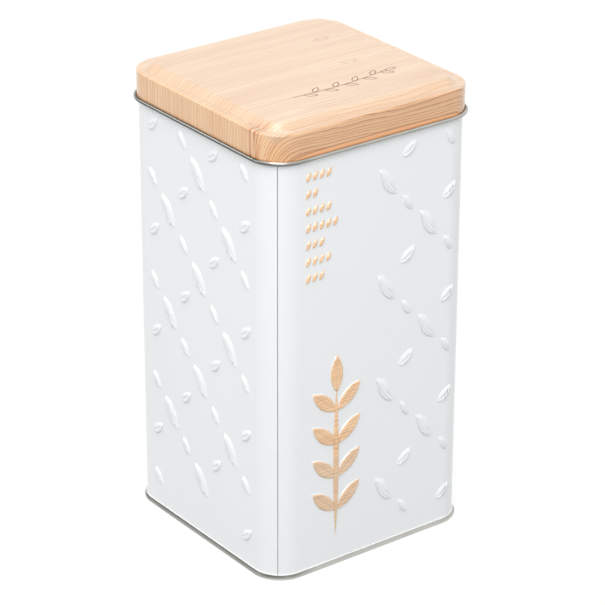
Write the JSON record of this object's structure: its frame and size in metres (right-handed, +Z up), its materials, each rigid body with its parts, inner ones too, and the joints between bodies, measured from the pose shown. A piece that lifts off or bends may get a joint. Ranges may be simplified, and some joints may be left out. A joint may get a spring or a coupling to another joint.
{
  "type": "tea canister",
  "caption": "Square tinplate canister for loose tea with rounded corners, pressed leaf relief, a seamed base and a lift-off lid printed like light wood.",
  "frame": {"origin": "middle of the surface that the canister stands on", "axes": "+Z up through the lid; -Y is the front face, with the sprig; -X is the side with leaves all over it"},
  "size_m": [0.0796, 0.0796, 0.1504],
  "materials": {
    "white_enamel": "satin",
    "bare_tinplate": "satin",
    "wood_print": "satin"
  },
  "bodies": {
    "canister": {"body_wall": "white_enamel", "base_plate": "bare_tinplate"},
    "lid": {"lid": "wood_print"}
  },
  "joints": [
    {"name": "lid_lift", "type": "slide", "parent": "canister", "child": "lid", "axis": [0, 0, 1], "range_m": [0, 0.04]}
  ]
}
